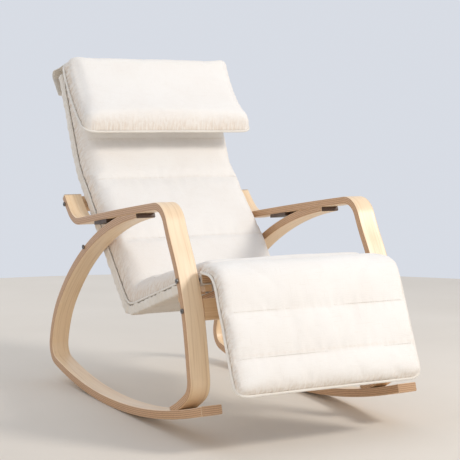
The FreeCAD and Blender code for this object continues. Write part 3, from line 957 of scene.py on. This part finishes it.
def rim_points(piece, lift, out):
    """Loop round the rear seam, lifted from the rear face and pushed out sideways."""
    mesh = piece.obj.data
    rim = np.array([mesh.vertices[i].co for i in piece.rim])
    above = np.array([mesh.vertices[i].co for i in piece.rim_above])
    up = above - rim
    up /= np.linalg.norm(up, axis=1)[:, None]
    ahead = np.roll(rim, -1, 0) - np.roll(rim, 1, 0)
    ahead /= np.linalg.norm(ahead, axis=1)[:, None]
    side = np.cross(ahead, up)
    side *= np.sign((side * (rim - rim.mean(0))).sum(1))[:, None]
    side /= np.linalg.norm(side, axis=1)[:, None]
    return rim + up * lift + side * out


def smooth_loop(points, rounds=3):
    for _ in range(rounds):
        points = (np.roll(points, 1, 0) + 2 * points + np.roll(points, -1, 0)) / 4
    return points


def line_on(piece, row):
    mesh = piece.obj.data
    return np.array([mesh.vertices[i].co for i in row]), np.array([mesh.vertices[i].normal for i in row])


for piece, node, body, fill, cord in PADS:
    loop = rim_points(piece, cord + 0.0002, 0.0030)
    rows = [line_on(piece, row) for row in piece.quilt_rows]
    piece.refine()
    dress(piece.obj, "pad_cloth", body)
    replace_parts(piece.obj, node)
    piping = tube(piece.name + "_piping", smooth_loop(loop), cord)
    dress(piping, "pad_cloth", body, "piping")
    for number, (points, normals) in enumerate(rows):
        row = stitches("%s_quilting_%d" % (piece.name, number), points, normals)
        dress(row, "pad_cloth", body, "thread")

# ------------------------------------------------------------------ hood of the headrest
HOOD_TOP = 0.15
HOOD_HALF = 0.2605


def hood_wrinkle(s, outline):
    """The top sags between the sides, and the part that hangs down behind flares in soft folds."""
    x = outline[:, 0]
    top = math.sin(min(s / HOOD_TOP, 1) * math.pi)
    hang = min(max((s - 0.17) / 0.09, 0), 1)
    sag = top * (0.009 * (1 - (x / 0.27) ** 2) + 0.0024 * np.sin(x * 34 + s * 26 + 0.5))
    flare = hang * (0.0045 * np.sin(x * 29 + 0.8) + 0.0020 * np.sin(x * 61 + 2.0))
    return flare - sag


hood_path = bent_path(HOOD)
hood_outline = subdivided(np.array([(-HOOD_HALF, -0.0015), (HOOD_HALF, -0.0015)]), CANVAS_MESH)
hood = cloth_strip("hood_cloth", hood_path, hood_outline, 0.0018, hood_wrinkle)
dress(hood, "canvas", None)
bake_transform(hood)
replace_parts(hood, "pillow_hood")

# ------------------------------------------------------------------ tapes that hold the leg pad
TAPE_WIDTH = 0.025
TAPE_AT = (0.045, 0.150)
TAPE_HALF = 0.2352
TAPE_BEHIND = 0.0136
tapes = []
for number, distance in enumerate(TAPE_AT):
    tape_path = bent_path(FOOT, FINE_STEP).cut(low_start + distance, low_start + distance + TAPE_WIDTH)
    reach = min(abs(crossing(p, n, leg_path.p)) for p, n in zip(tape_path.p, tape_path.n))
    corners = [(-TAPE_HALF, -reach), (-TAPE_HALF, TAPE_BEHIND), (TAPE_HALF, TAPE_BEHIND), (TAPE_HALF, -reach)]
    outline = subdivided(arc_corner(corners, 0.010), 0.008)
    tape = cloth_strip("tie_tape_%d" % number, tape_path, outline, 0.0013, lambda s, line: 0 * line[:, 0])
    dress(tape, "tie_tape", "footrest")
    tapes.append(tape)
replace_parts(tapes[0], "footrest_pad_straps")

# ------------------------------------------------------------------ CAD pieces that stay: eased edges
for entry in frame["record"]["subparts"]:
    if entry["material_slot"] in ("board_birch", "dark_block", "bar_beech", "rail_birch"):
        mod = frame["nodes"][entry["node"]].modifiers.new("eased", "BEVEL")
        mod.width = 0.0009
        mod.segments = 2
        mod.limit_method = "ANGLE"
        mod.angle_limit = math.radians(40)

# ------------------------------------------------------------------ floor and light
FLOOR_RADIUS = 3.2
FLOOR_SIDES = 96
turns = [2 * math.pi * k / FLOOR_SIDES for k in range(FLOOR_SIDES)]
disc = [(FLOOR_RADIUS * math.cos(a), FLOOR_RADIUS * math.sin(a), -0.0005) for a in turns]
floor = new_object("stage_floor", disc, [tuple(range(FLOOR_SIDES))], smooth=False)
floor.data.materials.append(plaster("stage_floor", (0.74, 0.68, 0.60), (0.70, 0.64, 0.56)))


def area_light(name, place, target, size, power, colour):
    light = bpy.data.lights.new(name, "AREA")
    light.shape = "RECTANGLE"
    light.size, light.size_y = size
    light.energy = power
    light.color = colour
    obj = bpy.data.objects.new(name, light)
    obj.location = place
    obj.rotation_euler = (Vector(target) - Vector(place)).to_track_quat("-Z", "Y").to_euler()
    scene.collection.objects.link(obj)


area_light("key", (2.3, -2.9, 3.0), (0, 0, 0.5), (0.9, 0.9), 98, (1.0, 0.955, 0.90))
area_light("bounce", (-2.4, -2.6, 0.3), (0, 0, 0.5), (2.6, 0.6), 11, (1.0, 0.88, 0.74))
area_light("rear", (-0.6, 3.6, 2.6), (0, 0, 0.5), (3.0, 2.0), 24, (0.96, 0.98, 1.0))
world = bpy.data.worlds.new("world")
scene.world = world
world.use_nodes = True
background = world.node_tree.nodes["Background"].inputs
background["Color"].default_value = (0.88, 0.92, 1.0, 1)
background["Strength"].default_value = 0.78
scene.view_settings.view_transform = "Standard"

# ------------------------------------------------------------------ camera
lens = bpy.data.cameras.new("camera")
lens.lens = 100.2
lens.sensor_width = 36
camera = bpy.data.objects.new("camera", lens)
camera.location = (-1.7218, -3.3468, 0.8138)
camera.rotation_euler = Vector((0.466, 0.881, -0.0826)).to_track_quat("-Z", "Y").to_euler()
scene.collection.objects.link(camera)
scene.camera = camera
